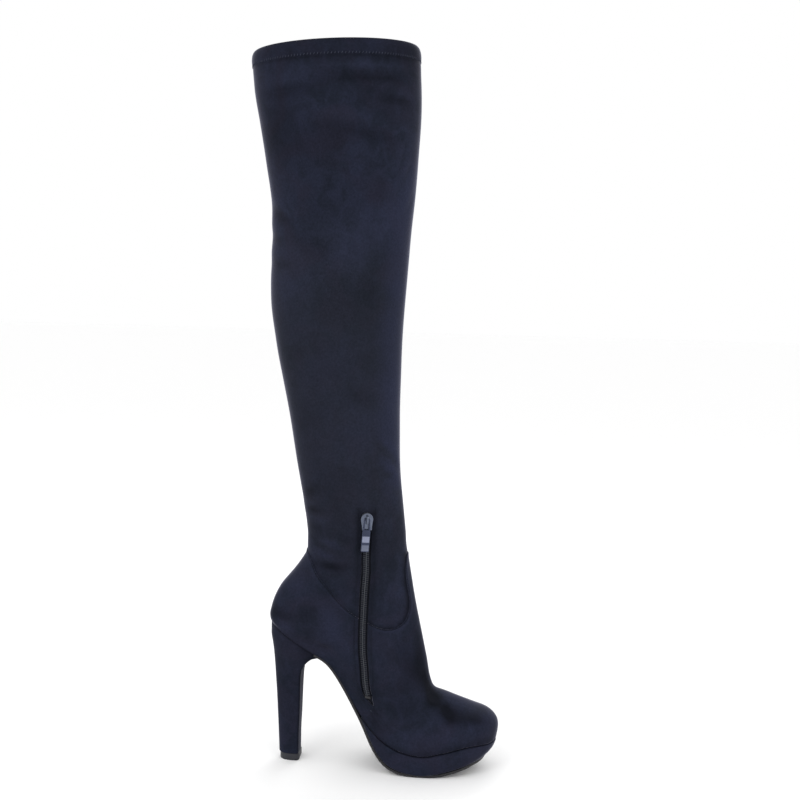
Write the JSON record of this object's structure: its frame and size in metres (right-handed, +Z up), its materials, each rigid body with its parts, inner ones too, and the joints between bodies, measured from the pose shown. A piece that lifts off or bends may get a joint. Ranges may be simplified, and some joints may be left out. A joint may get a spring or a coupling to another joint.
{
  "type": "thigh high boot",
  "caption": "Thigh high stretch suede boot for the left foot with a platform, a high covered heel and a short ankle zip with a hinged metal pull tab.",
  "frame": {"origin": "middle of the boot's foot print, on the floor", "axes": "+X towards the toe, +Z up the leg, the inner side of the leg with the zip at -Y"},
  "size_m": [0.249, 0.1252, 0.6765],
  "materials": {
    "suede": "napped dark navy stretch microsuede",
    "sock": "smooth dark sock lining",
    "outsole_rubber": "matt, fine grain",
    "top_piece": "hard, semi matt",
    "zip_tape": "woven tape",
    "zip_coil": "moulded coil",
    "navy_metal": "navy lacquered metal, satin"
  },
  "bodies": {
    "boot": {"shaft": "suede", "upper": "suede", "insole": "sock", "platform": "suede", "outsole": "outsole_rubber", "heel": "suede", "heel_tip": "top_piece", "zip_tape": "zip_tape", "zip_chain": "zip_coil", "zip_stop": "navy_metal", "zip_slider": "navy_metal"},
    "pull_tab": {"zip_pull_tab": "navy_metal"}
  },
  "joints": [
    {"name": "pull_tab_hinge", "type": "hinge", "parent": "boot", "child": "pull_tab", "pos_m": [-0.0032, -0.03902, 0.2409], "axis": [-0.9669, -0.2486, 0.0571], "range_deg": [0, 170]}
  ]
}
